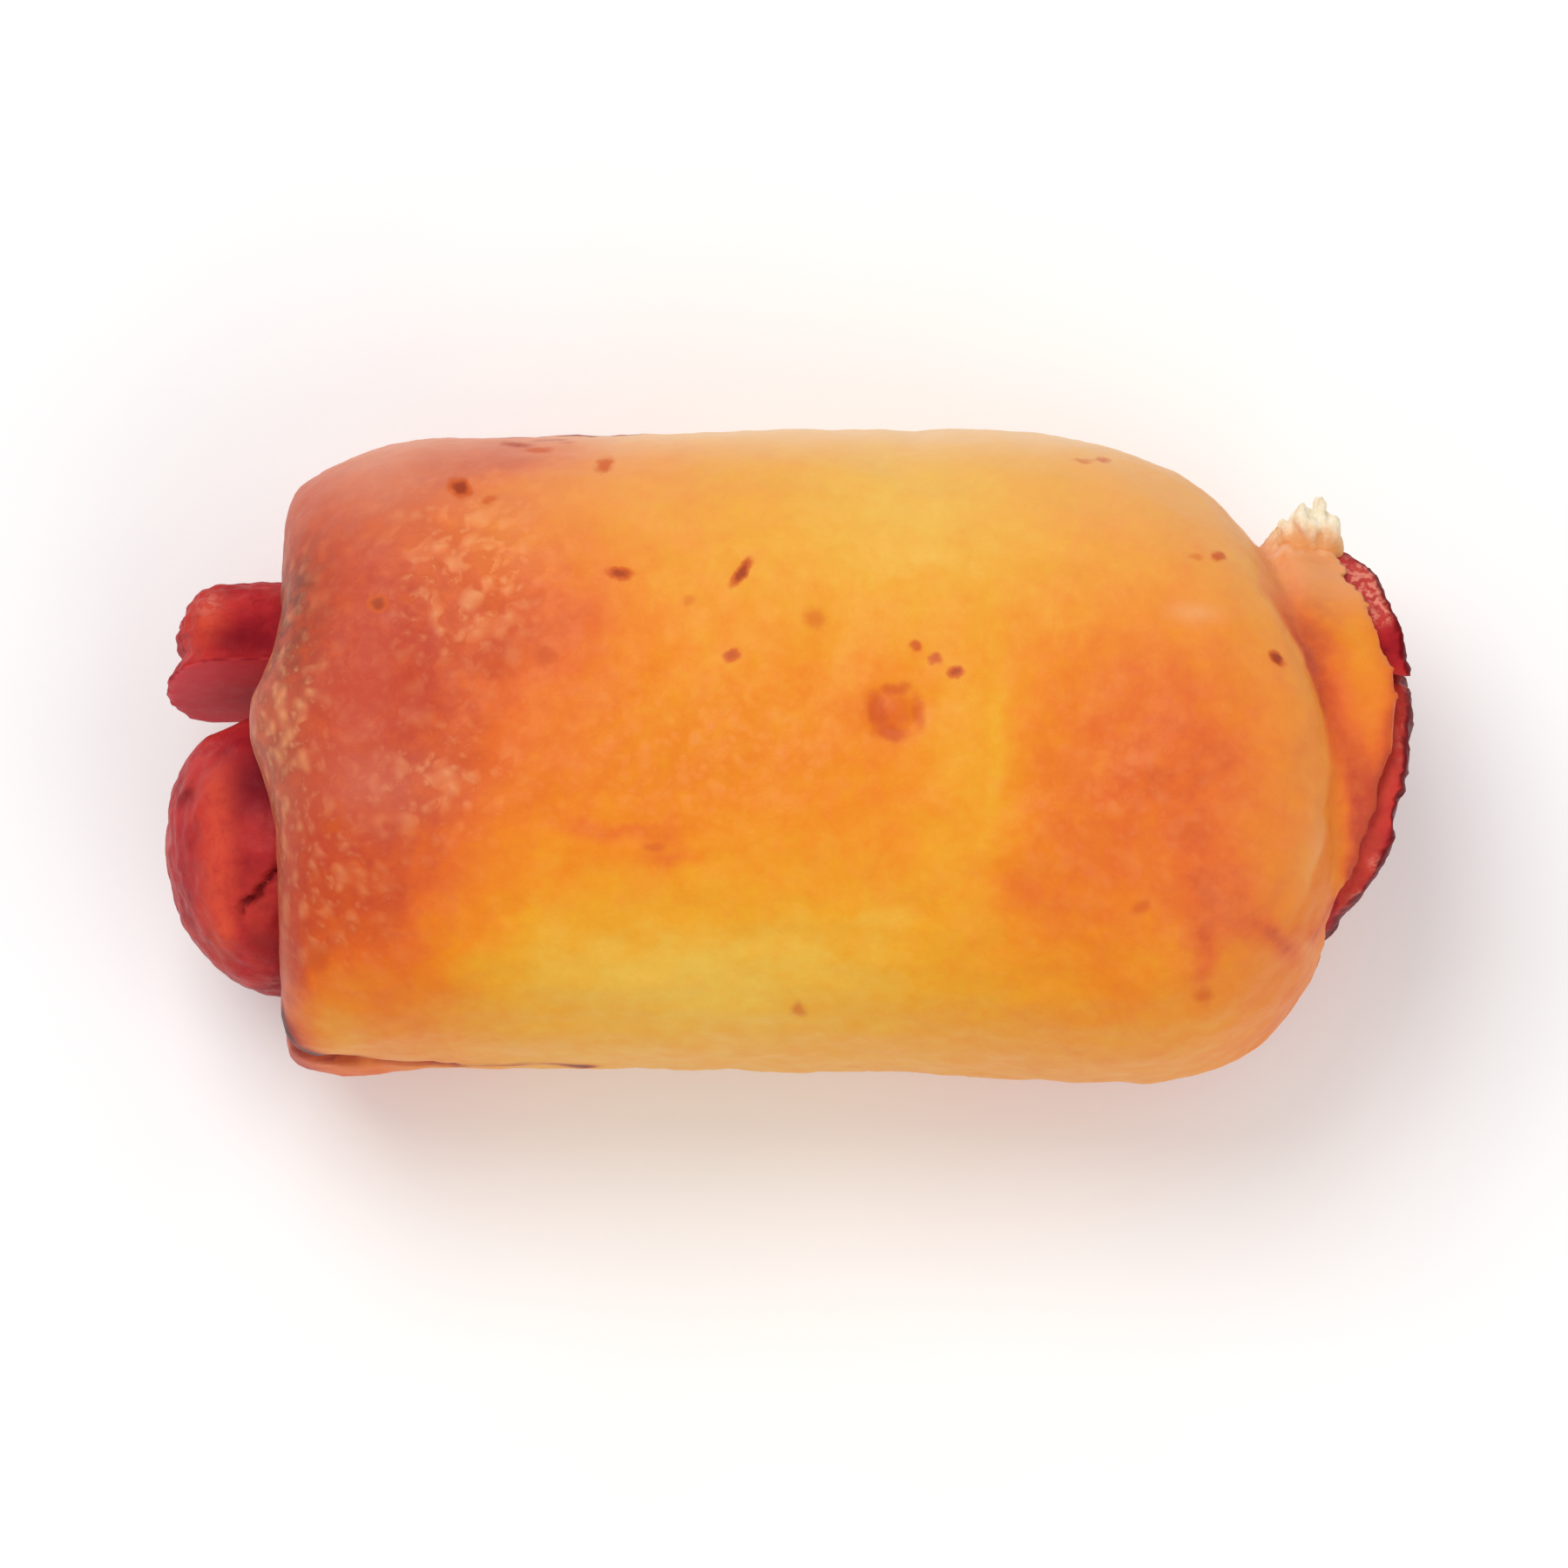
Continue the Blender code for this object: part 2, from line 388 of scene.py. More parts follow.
class HotDogStage(bpy.types.PropertyGroup):
    """Camera, light and floor."""

    elevation: bpy.props.FloatProperty(
        name="Elevation", description="How far the camera looks down",
        default=math.radians(80.0), subtype="ANGLE",
    )
    distance: length("Distance", "From the camera to the roll", 0.9)
    frame_width: length("Frame width", "Width that the picture takes in", 144.6 * MM)
    aim_x: length("Aim along", "Where the middle of the picture falls along the roll", -0.44 * MM)
    aim_y: length("Aim across", "Where the middle of the picture falls across the roll", -2.5 * MM)
    floor: colour("Floor", "Colour of the floor", (250, 250, 250))


# ---- the dough


def opening(share, power):
    """0 to 1 along a rounded corner that starts steep."""
    return closing(1.0 - share, power)


def closing(share, power):
    """1 to 0 along a rounded corner that ends steep."""
    return (1.0 - min(max(share, 0.0), 1.0) ** power) ** (1.0 / power)


# The roll's left end: how high its face stands, and how far in its crown and its foot round off.
LEFT_TOP = 35.0 * MM
LEFT_TOP_ROUND = 10.0 * MM
LEFT_FOOT_ROUND = 6.0 * MM
LEFT_POWER = 2.3
# Its right end: where the back, the front and the crown start to draw in, and where the lip ends.
BACK_TURNS = 20.0 * MM
FRONT_TURNS = 32.0 * MM
LIP_STARTS = 34.0 * MM
LIP_TIP_Y = -7.3 * MM
LIP_TIP_Z = 21.5 * MM
# The inner turn: where it starts inside the roll, its furthest reach, and where its foot ends.
TURN_START = 34.0
TURN_RIGHT = 55.6
TURN_FOOT = 47.0 * MM
# How far the roll reaches back and front, in millimetres, at distances from its left face.
BACK_EDGE = (
    (0.0, 18.5), (0.5, 22.8), (1.1, 24.8), (3.0, 25.8), (5.0, 27.0), (8.0, 28.3), (11.5, 29.3),
    (14.0, 29.5), (24.0, 29.3), (26.5, 29.7), (46.0, 30.0), (62.0, 30.0), (97.0, 29.9),
)
FRONT_EDGE = (
    (0.0, -26.6), (0.4, -27.6), (1.2, -28.1), (3.0, -28.3), (6.0, -28.2), (12.0, -28.3),
    (54.0, -28.3), (60.0, -28.8), (68.0, -29.4), (76.0, -29.9), (97.0, -29.9),
)


def roll_section(roll, x):
    """The roll's box at x: upright at the left, drawn in to a rounded lip at the right."""
    from_left = x - roll.left
    back = np.interp(from_left / MM, *zip(*BACK_EDGE)) * MM
    front = np.interp(from_left / MM, *zip(*FRONT_EDGE)) * MM
    top = mix(LEFT_TOP, roll.height, opening(from_left / LEFT_TOP_ROUND, LEFT_POWER))
    bottom = mix(4.0, -2.5, opening(from_left / LEFT_FOOT_ROUND, LEFT_POWER)) * MM
    back = mix(LIP_TIP_Y, back, closing((x - BACK_TURNS) / (roll.right - BACK_TURNS), 2.22))
    front = mix(LIP_TIP_Y, front, closing((x - FRONT_TURNS) / (roll.right - FRONT_TURNS), 2.12))
    lip = closing((x - LIP_STARTS) / (roll.right - LIP_STARTS), 2.4) ** 0.6
    return x, front, back, mix(LIP_TIP_Z, bottom, lip), mix(LIP_TIP_Z, top, lip)


def roll_stations(roll):
    """Places along the roll, close together where its ends turn."""
    left = [roll.left + 12.0 * MM * (step / 10) ** 2.0 for step in range(11)]
    barrel = [mix(-30.0, 18.0, step / 9) * MM for step in range(10)]
    right = [mix(BACK_TURNS, roll.right, math.sin(math.pi / 2 * step / 18)) for step in range(18)]
    return left + barrel + right


def turn_section(x):
    """The inner turn's box at x: a sleeve whose back edge flares into a torn flap."""
    flare = float(ease(45.6 * MM, 48.6 * MM, x))
    return x, -18.6 * MM, mix(14.6, 21.2, flare) * MM, 5.4 * MM, 36.6 * MM


# Where the right ends of the inner turn and of both sausages reach, seen from above: how far back
# and how far right, in millimetres.
TURN_END = (
    (-18.6, 47.0), (-16.5, 48.9), (-14.9, 50.4), (-14.1, 51.1), (-12.2, 52.5), (-10.4, 53.3),
    (-8.2, 53.6), (-5.4, 54.3), (-1.8, 54.9), (0.6, 55.2), (2.7, 55.5), (4.7, 55.6), (7.3, 55.5),
    (9.8, 55.0), (12.5, 54.0), (14.7, 52.8), (18.2, 50.6), (21.2, 48.8),
)
WHOLE_END = (
    (-17.5, 49.0), (-17.0, 49.7), (-16.1, 50.7), (-15.2, 51.7), (-13.7, 53.2), (-12.3, 54.2),
    (-11.4, 54.8), (-10.1, 55.5), (-8.9, 55.8), (-6.9, 56.1), (-4.9, 56.5), (-2.4, 56.8),
    (0.5, 57.2), (3.2, 57.7), (6.3, 57.6), (8.5, 57.2),
)
HALF_END = (
    (4.0, 57.3), (6.0, 57.3), (8.2, 57.1), (10.1, 56.7), (11.8, 56.0), (13.4, 55.6), (14.8, 55.0),
    (16.4, 54.0), (17.6, 52.9), (19.3, 51.5), (20.3, 50.1),
)


def end_on(piece, start, end, outline, foot=None):
    """Draws a piece's right end in so that, seen from above, it ends on the outline."""
    co = places(piece)
    reach = np.interp(co[:, 1] / MM, *zip(*outline)) * MM
    if foot is not None:
        reach = np.minimum(reach, mix(foot, reach, ease(10.0 * MM, 24.0 * MM, co[:, 2])))
    co[:, 0] += np.clip((co[:, 0] - start) / (end - start), 0.0, None) * (reach - end)
    place_all(piece, co)


def undercut_end(piece, middle_y, radius, slope):
    """Slopes a sausage's right end inward from its upper rim down."""
    co = places(piece)
    crest = SAUSAGE_HEIGHT + np.sqrt(np.clip(radius**2 - (co[:, 1] - middle_y) ** 2, 0.0, None))
    below = np.clip(crest - co[:, 2], 0.0, None)
    co[:, 0] -= ease(46.0 * MM, 54.0 * MM, co[:, 0]) * below * slope
    place_all(piece, co)


def lower_back_edge(turn):
    """Lets the inner turn's top slope down toward its back right edge."""
    co = places(turn)
    x, y, z = co.T / MM
    upper = ease(24.0, 33.0, z)
    co[:, 2] -= upper * ease(2.0, 15.0, y) * ease(45.0, 53.0, x) * 2.6 * MM
    co[:, 2] -= upper * ease(50.0, 55.0, x) * 0.8 * MM
    place_all(turn, co)


def raise_dough(roll):
    """The roll and its inner turn as one solid, resting flat."""
    dough = draw_out("roll_crust", [roll_section(roll, x) for x in roll_stations(roll)])
    stations = [mix(TURN_START, TURN_RIGHT, step / 24) for step in range(25)]
    turn = draw_out("inner_turn", [turn_section(x * MM) for x in stations])
    lower_back_edge(turn)
    end_on(turn, 38.0 * MM, TURN_RIGHT * MM, TURN_END, TURN_FOOT)
    join_solids(dough, turn, "UNION")
    edit(dough)
    bpy.ops.mesh.bisect(plane_co=(0, 0, 0), plane_no=(0, 0, 1), clear_inner=True, use_fill=True)
    done()
    return dough


def soften_mouths(dough):
    """Rounds the edges of the dough where the sausages come out."""
    x = places(dough)[:, 0] / MM
    ends = dough.vertex_groups.new(name="mouths")
    for vertex in np.flatnonzero((x > 50.0) | (x < -44.5)):
        ends.add([int(vertex)], 1.0, "REPLACE")
    apply_modifier(dough, "softening", "SMOOTH", vertex_group="mouths", factor=0.5, iterations=10)


# Deep crust colours as a painter would lay them on, seen from above: x, y, half length and half
# width in millimetres, and how much more (or less) the crust has browned there.
BROWNING = (
    # crown, middle and the halo of the popped blister
    (4.0, 2.6, 21.0, 6.7, 0.11), (-18.0, -6.5, 42.1, 5.7, 0.15), (9.2, 0.0, 2.6, 2.5, 0.28),
    # left end: face, heart, foot, shoulder and back
    (-49.9, 3.0, 6.8, 71.8, 0.6), (-36.0, 3.0, 12.6, 11.8, 0.5), (-37.1, -17.2, 8.7, 11.0, 0.52),
    (-20.3, 8.4, 6.5, 8.1, 0.26), (-38.8, 28.0, 16.8, 22.2, 0.55),
    # smear on the left
    (-11.5, -11.8, 2.4, 2.5, 0.12), (-16.0, -10.6, 5.5, 0.8, 0.22), (-10.0, -12.6, 3.5, 0.5, 0.18),
    # belly, pale vein and seam
    (-7.9, -22.8, 23.0, 5.0, -0.33), (9.6, -18.4, 4.6, 0.9, -0.1), (16.7, -5.6, 4.4, 11.1, -0.22),
    (18.2, -3.0, 0.8, 10.0, -0.1),
    # right cheek
    (34.8, -4.0, 13.4, 13.9, 0.37), (24.0, -16.3, 8.8, 6.6, 0.18), (20.4, -15.8, 2.2, 1.8, 0.16),
    (36.6, -10.5, 2.2, 5.0, 0.1),
    # lip foot and its drip
    (50.9, -29.0, 7.8, 9.9, 0.45), (39.0, -16.9, 5.1, 5.1, 0.24), (42.6, -19.3, 3.0, 1.2, 0.24),
    (44.8, -19.8, 1.6, 1.2, 0.16), (37.4, -21.5, 0.9, 3.2, 0.2), (29.0, -23.6, 3.6, 1.8, 0.1),
    # front
    (30.0, -34.0, 40.8, 7.5, 0.14), (0.0, -32.0, 60.0, 4.5, -0.16), (-49.2, -28.1, 4.5, 12.5, 0.46),
    (-42.0, -26.5, 4.0, 3.2, -0.24),
    # back
    (11.0, 20.2, 12.9, 11.0, -0.26), (-21.3, 28.2, 11.2, 4.8, 0.22), (-29.2, 17.5, 4.0, 4.0, -0.1),
    (-27.0, 25.5, 6.0, 2.5, 0.12),
)
# Where the crust stayed peachy and pale (one stroke a painted highlight), where painted shade lies
# on it, and where it has blistered.
PALING_AND_HIGHLIGHT = (
    # back
    (12.0, 30.8, 120.2, 4.0, 1.0), (-34.0, 30.0, 38.9, 13.8, 0.4), (43.0, 30.0, 29.3, 14.8, 0.49),
    (-37.5, 24.0, 5.5, 5.0, 0.3),
    # front and lip
    (-12.0, -33.4, 47.3, 4.5, 0.6), (-46.4, -24.0, 1.6, 4.0, 0.4), (58.0, 0.0, 17.7, 50.0, 0.18),
    (49.2, -13.5, 2.2, 4.6, 0.3),
    # left middle, left edge, and a light oval that is a painted highlight
    (-37.0, -6.4, 6.0, 4.0, 0.22), (-47.0, -2.0, 3.0, 10.0, 0.34), (36.6, 9.6, 2.2, 0.9, 0.25),
)
PAINTED_SHADE = (
    # painted shade above the split sausage, on the left edge, at the foot and beside the lip
    (-45.4, 10.6, 3.0, 6.0, 1.0), (-46.8, -3.0, 2.8, 13.0, 0.42), (-46.6, -14.0, 1.2, 9.0, 0.3),
    (48.0, 9.5, 1.9, 4.5, 0.22),
)
BLISTERS = (
    # shoulder, left edge, left middle, foot, middle and right cheek
    (-29.3, 13.0, 6.0, 7.5, 1.15), (-45.8, 0.0, 3.4, 12.0, 1.0), (-31.5, -6.0, 5.5, 4.5, 0.9),
    (-41.0, -16.0, 4.5, 6.0, 0.6), (-8.0, -3.0, 12.0, 6.0, 0.3), (30.0, -8.0, 10.0, 8.0, 0.2),
)
# Lines of scorched crust on the roll's flanks: points in millimetres, reach and depth. The second
# and third also lie in the crease.
SCORCHES = (
    (((-46.1, -25.2, 27.6), (-44.8, -26.7, 25.0), (-43.0, -27.7, 23.0)), 1.5, 1.5),
    (
        ((-46.4, -26.2, 24.6), (-45.2, -27.6, 22.6), (-43.1, -28.2, 21.4), (-40.6, -28.3, 20.8)),
        2.2, 1.0,
    ),
    (((-40.6, -28.3, 20.6), (-36.0, -28.4, 20.0), (-31.0, -28.4, 20.0)), 1.4, 0.75),
    (((-31.0, -28.4, 20.0), (-25.0, -28.4, 20.0), (-20.0, -28.4, 19.6)), 1.2, 0.5),
    (((-20.4, -28.4, 19.0), (-18.8, -28.4, 19.0)), 1.3, 1.0),
    (((-20.4, 28.9, 28.6), (-17.0, 29.1, 28.4), (-14.2, 29.0, 28.4)), 1.1, 0.9),
    (((-26.4, 28.6, 29.6), (-23.0, 28.8, 29.0)), 1.0, 0.75),
    (((-25.8, 27.4, 33.0), (-24.0, 27.2, 33.6)), 0.8, 0.55),
    (((-22.8, 27.9, 32.0), (-21.0, 27.9, 32.0)), 0.8, 0.45),
)
# The middle of the lap, low on the front at the left.
LAP = (-40.6, -28.0, 15.6)


def strokes(laid, x, y):
    """Adds up soft oval strokes at every place seen from above."""
    total = np.zeros(len(x))
    for *place_and_size, strength in laid:
        total += strength * oval(x, y, *place_and_size)
    return total


def along(co, path, reach):
    """1 on a line through the path's points, falling softly to 0 past the reach."""
    nearest = np.full(len(co), 1e9)
    for start, end in zip(path, path[1:]):
        first, span = np.array(start), np.array(end) - np.array(start)
        share = np.clip((co - first) @ span / (span @ span), 0.0, 1.0)
        nearest = np.minimum(nearest, np.linalg.norm(co - first - share[:, None] * span, axis=1))
    return hump(nearest, reach)


# Where the roll's lip lies over the inner turn, seen from above: how far back and how far right.
LIP_EDGE = (
    (-16.3, 49.0), (-9.9, 49.8), (-5.1, 49.6), (-1.0, 48.4), (3.0, 47.2), (7.8, 46.0), (15.9, 42.9),
)


def turn_bake_and_painted_light(x, y):
    """How far the inner turn has browned, with painted shade beside the lip and a painted highlight
    in a yellow patch; redder toward the front.
    """
    past_lip = x - np.interp(y, *zip(*LIP_EDGE))
    # Painted shade beside the lip, laid in as extra browning.
    shade = hump(past_lip - 1.2, 2.4) * hump(y - 5.0, 7.0) * 0.4
    redder = ease(2.5, -9.0, y) * ease(0.3, 2.4, past_lip) * 0.46
    # Painted highlight: a yellow patch, laid in as less browning.
    yellow_highlight = hump(x - 52.4, 1.8) * hump(y - 8.0, 3.0) * 0.16
    edge = hump(np.interp(y, *zip(*TURN_END)) - x, 0.9) * ease(13.0, 9.0, y) * 0.26
    return 0.58 + shade + redder + edge - yellow_highlight


def brown_crust(dough):
    """Paints how far each place has baked, painted shade, and where it is pale, blistered, torn or
    scorched.
    """
    co = places(dough)
    x, y, z = co.T / MM
    drift_x = x + cloud(co, 6.0, 1) * 0.9
    drift_y = y + cloud(co, 6.0, 2) * 0.9
    bake_and_painted_light = 0.36 + strokes(BROWNING, drift_x, drift_y) + cloud(co, 4.0, 3) * 0.04
    turn = ease(38.0, 37.1, z) * ease(-19.3, -18.5, y) * ease(42.4, 43.2, x)
    # The inner turn takes its own browning, painted shade and painted highlight.
    bake_and_painted_light = mix(bake_and_painted_light, turn_bake_and_painted_light(drift_x, drift_y), turn)
    lap = hump(x - LAP[0], 6.5) * ease(-25.5, -27.0, y) * hump(z - LAP[2], 5.0)
    bake_and_painted_light += ease(7.0, 0.5, z) * 0.45 + lap * 0.35
    paint(dough, "bake_and_painted_light", bake_and_painted_light)
    # Pale crust, with one stroke a painted highlight.
    pale = strokes(PALING_AND_HIGHLIGHT, x, y) * (1.0 - np.minimum(1.5 * lap, 1.0)) * (1.0 - turn)
    paint(dough, "pale", pale + turn * (0.04 + 0.42 * ease(9.0, 16.5, y)))
    # Painted shade, only on the upper side.
    paint(dough, "painted_shade", strokes(PAINTED_SHADE, drift_x, drift_y) * ease(22.0, 30.0, z))
    paint(dough, "blister", 0.1 + strokes(BLISTERS, drift_x, drift_y) * ease(24.0, 32.0, z))
    edge = y + cloud(co, 1.6, 4) * 0.9
    paint(dough, "torn", ease(43.3, 45.2, x) * ease(16.8, 20.6, edge))
    paint(dough, "top", directions(dough)[:, 2])
    scorch = [along(co / MM, path, reach) * depth for path, reach, depth in SCORCHES]
    paint(dough, "scorch", np.max(scorch, axis=0) * (0.8 + 0.3 * cloud(co, 2.4, 5)))


def relieve_crust(dough):
    """The uneven surface: swells, lumps, a popped blister, the lap and the bulge at the left."""
    co = places(dough)
    x, y, z = co.T / MM
    bulge = np.where(y > 1.2, hump(y - 1.2, 5.2), hump(y - 1.2, 5.8))
    bulge *= ease(-38.0, -46.0, x) * ease(12.0, 26.0, z)
    co[:, 0] -= bulge * 2.5 * MM
    place_all(dough, co)
    lying = ease(0.4, 3.0, z)
    swell = cloud(co, 16.0, 11) * 0.42
    swell += cloud(co, 5.0, 12) * 0.16 + cloud(co, 1.8, 13) * 0.05
    from_blister = np.hypot(x - 9.7, y - 0.3)
    popped = (z > 38.0) * (0.4 * hump(from_blister, 3.0) - 0.45 * hump(from_blister - 1.9, 0.7))
    lap = hump(x - LAP[0] - 1.0, 4.6) * hump(z - LAP[2] + 2.0, 5.0)
    lap *= ease(-24.5, -27.5, y) * 0.9
    groove = along(co / MM, SCORCHES[1][0], 0.9) * 1.3 + along(co / MM, SCORCHES[2][0], 0.8) * 0.6
    push_out(dough, swell * lying + popped + lap - groove)


# Freckles and marks on the crust, seen from above: x, y, half length and half width in
# millimetres, depth of colour, and a turn in degrees. The last five lie on the popped blister.
FRECKLES = (
    (-41.0, -10.1, 1.1, 0.9, 0.34), (-29.9, 21.8, 1.5, 1.2, 1.0, -50.0),
    (-27.2, 20.6, 1.3, 0.7, 0.42, 20.0), (-37.1, 10.2, 1.2, 1.1, 0.85),
    (-34.6, 10.6, 1.2, 0.8, 0.3), (-16.8, 24.3, 1.0, 1.5, 0.55, -30.0),
    (-15.3, 13.1, 1.6, 0.75, 0.85, -5.0), (-4.3, 13.2, 2.0, 0.75, 0.9, 58.0),
    (-22.1, 5.5, 1.4, 1.2, 0.58), (-5.1, 5.4, 0.9, 0.8, 0.7), (2.3, 8.8, 1.5, 1.5, 0.32),
    (-9.0, 10.6, 0.9, 0.7, 0.26), (11.4, 6.3, 0.8, 0.7, 0.6), (13.2, 5.1, 0.8, 0.8, 0.62),
    (15.0, 3.9, 1.0, 0.8, 0.8, -20.0), (38.9, 15.4, 0.9, 0.8, 0.62), (36.9, 15.2, 0.8, 0.5, 0.3),
    (44.2, 5.7, 1.1, 0.7, 0.95, -45.0), (28.6, 25.3, 1.0, 0.5, 0.55), (26.9, 25.0, 1.4, 0.4, 0.3),
    (0.8, -25.4, 1.0, 0.8, 0.4), (-42.6, -21.4, 1.4, 1.4, 0.5), (-12.2, -12.0, 1.5, 0.7, 0.34),
    (31.7, -17.2, 1.2, 0.8, 0.34, 20.0), (37.5, -24.4, 1.2, 0.9, 0.36),
    (-22.9, 26.3, 1.6, 0.6, 0.55), (-20.6, 27.4, 1.4, 0.5, 0.5), (8.0, 0.2, 1.2, 2.6, 0.55, 12.0),
    (9.1, -1.6, 2.2, 1.1, 0.55, -12.0), (9.6, 2.2, 2.2, 0.9, 0.44, 8.0),
    (11.6, 0.2, 0.8, 2.2, 0.38, 8.0), (9.8, 0.2, 2.6, 2.6, 0.2),
)


def crust_finish(roll):
    """Egg-washed crust: browned in patches, freckled, blistered, with a satin glaze, and with
    painted shade and painted highlights in its colour.
    """
    crust = Finish("baked_crust")
    torn_edge = crust.wander(1.2, 0.9)
    mottle = crust.noise(3.4, 5.0, 0.62)
    fine = crust.noise(0.9, 3.0, 0.6)
    speckle = crust.noise(1.7, 3.0, 0.6)
    baked_and_painted_light = crust.math("MULTIPLY_ADD", mottle, 0.22, crust.layer("bake_and_painted_light"))
    baked_and_painted_light = crust.math("MULTIPLY_ADD", speckle, 0.12, baked_and_painted_light)
    baked_and_painted_light = crust.times(crust.math("MULTIPLY_ADD", fine, 0.1, baked_and_painted_light), 0.8)
    shades = (roll.pale, roll.golden, roll.orange, roll.roasted, roll.scorched)
    base = crust.ramp(baked_and_painted_light, [(0.176 + 0.2 * step, shade) for step, shade in enumerate(shades)])
    rosy = crust.level(crust.layer("bake_and_painted_light"), 0.45, 0.95)
    peach = crust.blend(rosy, (*roll.peach, 1.0), (*roll.rosy, 1.0))
    # Pale and peach crust, with the painted highlight of the light oval.
    pale = crust.times(crust.layer("pale"), crust.level(mottle, 0.25, 0.65, 0.8, 1.0))
    base = crust.blend(pale, base, peach)
    # Painted shade, broken up by the speckle noise.
    painted_shade = crust.times(crust.layer("painted_shade"), crust.level(speckle, 0.36, 0.6, 0.35, 1.0))
    drifting = crust.unrolled(crust.wander(3.0, 1.4))
    large = crust.level(crust.cells(2.1, drifting), -0.07, 0.545, 1.0, 0.0)
    small = crust.level(crust.cells(1.25, drifting), -0.07, 0.525, 0.8, 0.0)
    some = crust.level(crust.noise(2.4, 1.0), 0.42, 0.56)
    scattered = crust.times(small, crust.level(speckle, 0.45, 0.6))
    lumpy = crust.math("MAXIMUM", crust.times(large, some), scattered)
    patchy = crust.times(crust.layer("blister"), crust.level(mottle, 0.28, 0.46, 0.35, 1.0))
    bubbles = crust.times(lumpy, patchy)
    # Painted shade in the hollows between the blisters.
    shaded_hollows = crust.times(crust.level(lumpy, 0.3, 0.0), patchy)
    freckle = 0.0
    for mark in FRECKLES:
        freckle = crust.math("MAXIMUM", freckle, crust.spot(torn_edge, *mark))
    freckle = crust.times(freckle, crust.level(crust.layer("top"), 0.2, 0.6))
    scorch = crust.layer("scorch")
    for share, *shade in (
        # painted shade
        (painted_shade, 124, 66, 50),
        # painted highlight on the blister tops
        (crust.times(bubbles, 0.62), 238, 162, 106),
        # painted shade in the hollows
        (crust.times(shaded_hollows, 0.22), 178, 60, 34),
        (crust.level(freckle, 0.0, 0.55, 0.0, 0.85), 208, 86, 18),
        (crust.level(freckle, 0.5, 1.0, 0.0, 0.85), 148, 44, 6),
        (crust.level(scorch, 0.0, 0.6, 0.0, 0.9), 176, 52, 20),
        (crust.level(scorch, 0.4, 1.0), 72, 8, 4),
    ):
        base = crust.tint(base, share, srgb(*shade))
    torn = crust.layer("torn")
    crumb = crust.ramp(fine, [(0.34, srgb(232, 178, 104)), (0.62, roll.crumb)])
    base = crust.blend(torn, base, crumb)
    satin = crust.level(mottle, 0.3, 0.75, 0.42, 0.58)
    pores = crust.bump(crust.noise(0.55, 4.0, 0.6), 0.14, 0.2)
    lumps = crust.bump(bubbles, 0.4, 0.35, pores)
    return crust.finished({
        "Base Color": base,
        "Roughness": crust.math("MAXIMUM", satin, crust.times(torn, 0.85)),
        "Specular IOR Level": 0.22,
        "Coat Weight": 0.05,
        "Coat Roughness": 0.38,
        "Normal": crust.bump(mottle, 0.18, 0.8, lumps),
    })


# ---- the sausages


# Where both sausages start and end, how high they lie, and where their middles run.
WHOLE_LEFT, WHOLE_RIGHT = -57.3 * MM, 57.8 * MM
HALF_LEFT, HALF_RIGHT = -56.9 * MM, 57.9 * MM
MIDDLE_Z = 21.0
SAUSAGE_HEIGHT = MIDDLE_Z * MM
WHOLE_LEFT_Y, WHOLE_RIGHT_Y = -9.4 * MM, -4.6 * MM
HALF_LEFT_Y, HALF_RIGHT_Y = 6.1 * MM, 10.0 * MM
# How far the cut face leans back, its slant across the roll, its middle and its first corner.
HALF_LEAN = math.radians(6.5)
HALF_SLANT = math.atan((10.0 - 6.1) / (55.8 + 56.6))
CUT_MIDDLE = Vector((0.0, (6.1 + 3.9 * 56.4 / 111.6) * MM, SAUSAGE_HEIGHT))
CUT_CORNER = Vector((53.2, 11.0, 30.9)) * MM
TUNNEL_END = 62.0 * MM


def gripped(x):
    """1 where the dough grips a sausage, 0 past both mouths."""
    return float(ease(-46.0 * MM, -37.0 * MM, x) * ease(51.0 * MM, 42.0 * MM, x))


def rounded_ends(left_share, left_power, right_share, least):
    """How much of its radius a sausage keeps where its ends round off."""
    return max(opening(left_share, left_power) * closing(right_share, 2.4), least)


def round_box(x, middle_y, radius):
    low, high = SAUSAGE_HEIGHT - radius, SAUSAGE_HEIGHT + radius
    return x, middle_y - radius, middle_y + radius, low, high


def whole_section(sausages, x, extra=0.0):
    """The whole sausage's box at x, thinner where the dough grips it."""
    radius = sausages.whole_radius - 1.3 * MM * gripped(x)
    if not extra:
        left_share = (x - WHOLE_LEFT) / (10.2 * MM)
        right_share = (x - WHOLE_RIGHT + 0.9 * MM) / (0.9 * MM)
        radius *= rounded_ends(left_share, 2.1, right_share, 0.12)
    middle_y = mix(WHOLE_LEFT_Y, WHOLE_RIGHT_Y, (x - WHOLE_LEFT) / (WHOLE_RIGHT - WHOLE_LEFT))
    return round_box(x, middle_y, radius + extra)


def split_section(sausages, x, extra=0.0):
    """The split sausage's box at x before it is split."""
    radius = sausages.split_radius - 1.7 * MM * gripped(x)
    if not extra:
        left_share = (x - HALF_LEFT) / (4.2 * MM)
        right_share = (x - HALF_RIGHT + 0.8 * MM) / (0.8 * MM)
        radius *= rounded_ends(left_share, 2.3, right_share, 0.2)
    middle_y = mix(HALF_LEFT_Y, HALF_RIGHT_Y, (x - HALF_LEFT) / (HALF_RIGHT - HALF_LEFT))
    middle_y -= 1.5 * MM * gripped(x) * float(ease(0.0, 54.0 * MM, x))
    return round_box(x, middle_y, radius + extra)


